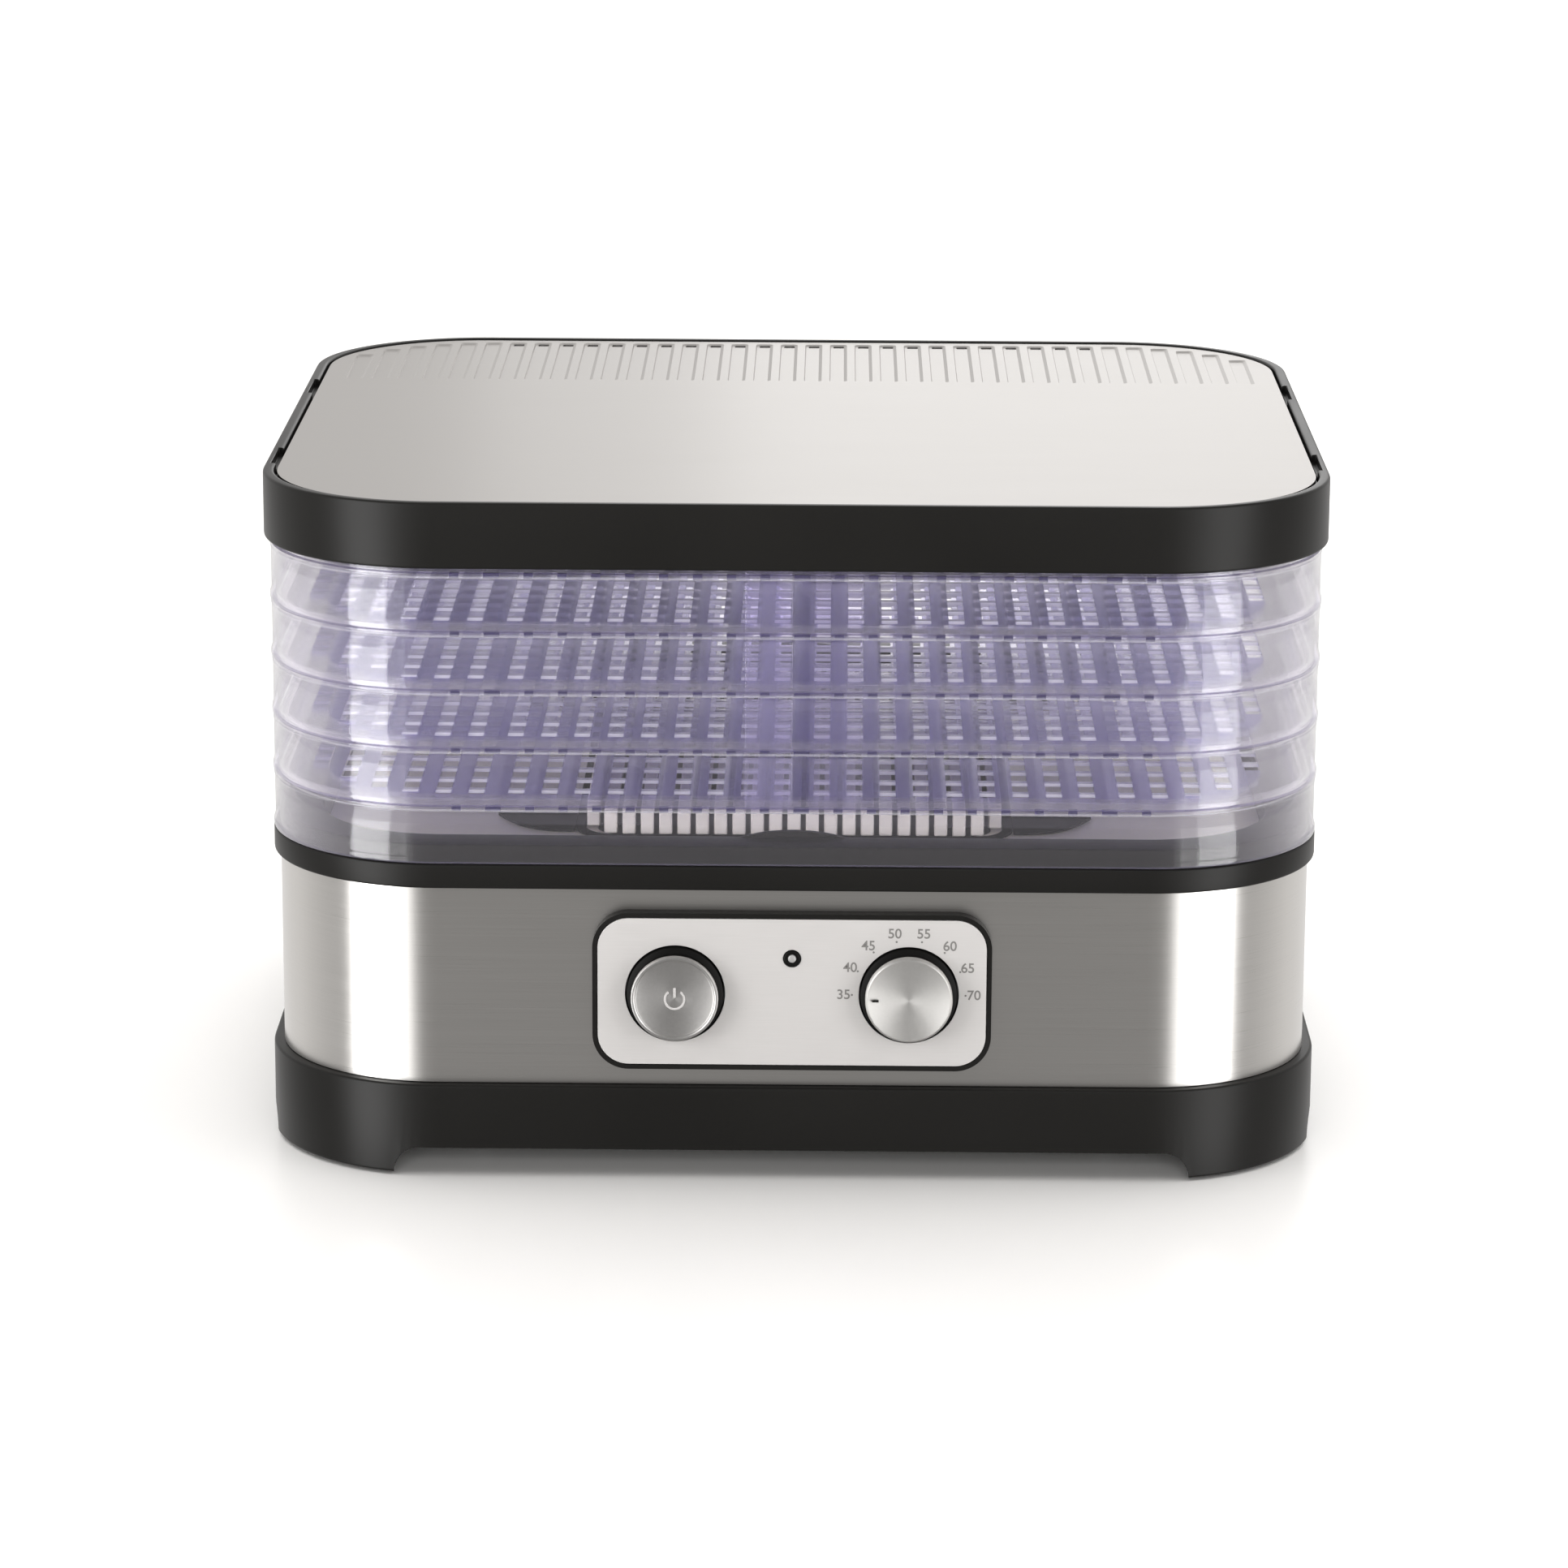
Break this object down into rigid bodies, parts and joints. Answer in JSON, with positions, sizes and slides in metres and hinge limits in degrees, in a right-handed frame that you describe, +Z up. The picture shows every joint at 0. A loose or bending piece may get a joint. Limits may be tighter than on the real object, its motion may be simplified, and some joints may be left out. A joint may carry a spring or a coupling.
{
  "type": "food dehydrator",
  "caption": "Countertop food dehydrator: a heated fan base with push button and thermostat knob under stacked clear mesh trays and a vented steel lid.",
  "frame": {"origin": "on the table, under the middle of the whole object", "axes": "+Z up, +X to the right seen from the front, -Y out of the control panel's side"},
  "size_m": [0.4, 0.3702, 0.258],
  "materials": {
    "black_plastic": "satin black moulded plastic",
    "brushed_steel": "horizontally brushed stainless sheet",
    "panel_plate": "satin silver plate",
    "spun_aluminium": "radially spun face",
    "clear_plastic": "clear, faintly violet",
    "light_plastic": "light moulded plastic",
    "dark_metal": "dark oxide finish",
    "zinc_steel": "zinc plated",
    "rubber": "matt black",
    "mica": "mica board",
    "phenolic": "brown phenolic",
    "lens": "frosted"
  },
  "bodies": {
    "base": {"bottom_housing": "black_plastic", "steel_wrap": "brushed_steel", "upper_housing": "black_plastic", "deck_plate": "brushed_steel", "outlet_grille": "light_plastic", "outlet_surround": "black_plastic", "intake_grille": "black_plastic", "cord_gland": "black_plastic", "panel_gasket": "black_plastic", "panel_plate": "panel_plate", "panel_bracket": "zinc_steel", "switch_body": "phenolic", "thermostat_body": "zinc_steel", "sensor_tube": "dark_metal", "sensor_bulb": "zinc_steel", "indicator_bezel": "black_plastic", "indicator_lens": "lens", "indicator_lamp": "light_plastic", "motor_bracket": "zinc_steel", "motor_body": "dark_metal", "air_duct": "zinc_steel", "heater_frame": "mica", "heater_coil": "dark_metal", "thermal_cutout": "phenolic", "terminal_block": "light_plastic", "foot_pad_1": "rubber", "base_screw_1": "zinc_steel", "foot_pad_2": "rubber", "base_screw_2": "zinc_steel", "foot_pad_3": "rubber", "base_screw_3": "zinc_steel", "foot_pad_4": "rubber", "base_screw_4": "zinc_steel"},
    "power_button": {"power_button": "spun_aluminium", "power_button_skirt": "black_plastic", "switch_plunger": "phenolic"},
    "thermostat_knob": {"thermostat_knob": "spun_aluminium", "thermostat_knob_skirt": "black_plastic", "thermostat_shaft": "zinc_steel", "knob_pointer": "black_plastic"},
    "fan_rotor": {"fan_impeller": "black_plastic", "motor_shaft": "zinc_steel"},
    "lid": {"lid_frame": "black_plastic", "lid_top_plate": "brushed_steel"},
    "tray_1": {"tray_1": "clear_plastic", "tray_mesh_1": "clear_plastic"},
    "tray_2": {"tray_2": "clear_plastic", "tray_mesh_2": "clear_plastic"},
    "tray_3": {"tray_3": "clear_plastic", "tray_mesh_3": "clear_plastic"},
    "tray_4": {"tray_4": "clear_plastic", "tray_mesh_4": "clear_plastic"},
    "tray_5": {"tray_5": "clear_plastic", "tray_mesh_5": "clear_plastic"}
  },
  "joints": [
    {"name": "power_button_press", "type": "slide", "parent": "base", "child": "power_button", "axis": [0, 1, 0], "range_m": [0, 0.003], "stiffness_N_per_m": 400, "springref_m": -0.002},
    {"name": "thermostat_turn", "type": "hinge", "parent": "base", "child": "thermostat_knob", "pos_m": [0.0434, -0.18, 0.0731], "axis": [0, 1, 0], "range_deg": [0, 180]},
    {"name": "fan_spin", "type": "hinge", "parent": "base", "child": "fan_rotor", "pos_m": [0, 0, 0.08], "axis": [0, 0, 1], "continuous": true},
    {"name": "tray_1_lift", "type": "slide", "parent": "base", "child": "tray_1", "axis": [0, 0, 1], "range_m": [0, 0.06]},
    {"name": "tray_2_lift", "type": "slide", "parent": "tray_1", "child": "tray_2", "axis": [0, 0, 1], "range_m": [0, 0.06]},
    {"name": "tray_3_lift", "type": "slide", "parent": "tray_2", "child": "tray_3", "axis": [0, 0, 1], "range_m": [0, 0.06]},
    {"name": "tray_4_lift", "type": "slide", "parent": "tray_3", "child": "tray_4", "axis": [0, 0, 1], "range_m": [0, 0.06]},
    {"name": "tray_5_lift", "type": "slide", "parent": "tray_4", "child": "tray_5", "axis": [0, 0, 1], "range_m": [0, 0.06]},
    {"name": "lid_lift", "type": "slide", "parent": "tray_5", "child": "lid", "axis": [0, 0, 1], "range_m": [0, 0.06]}
  ]
}
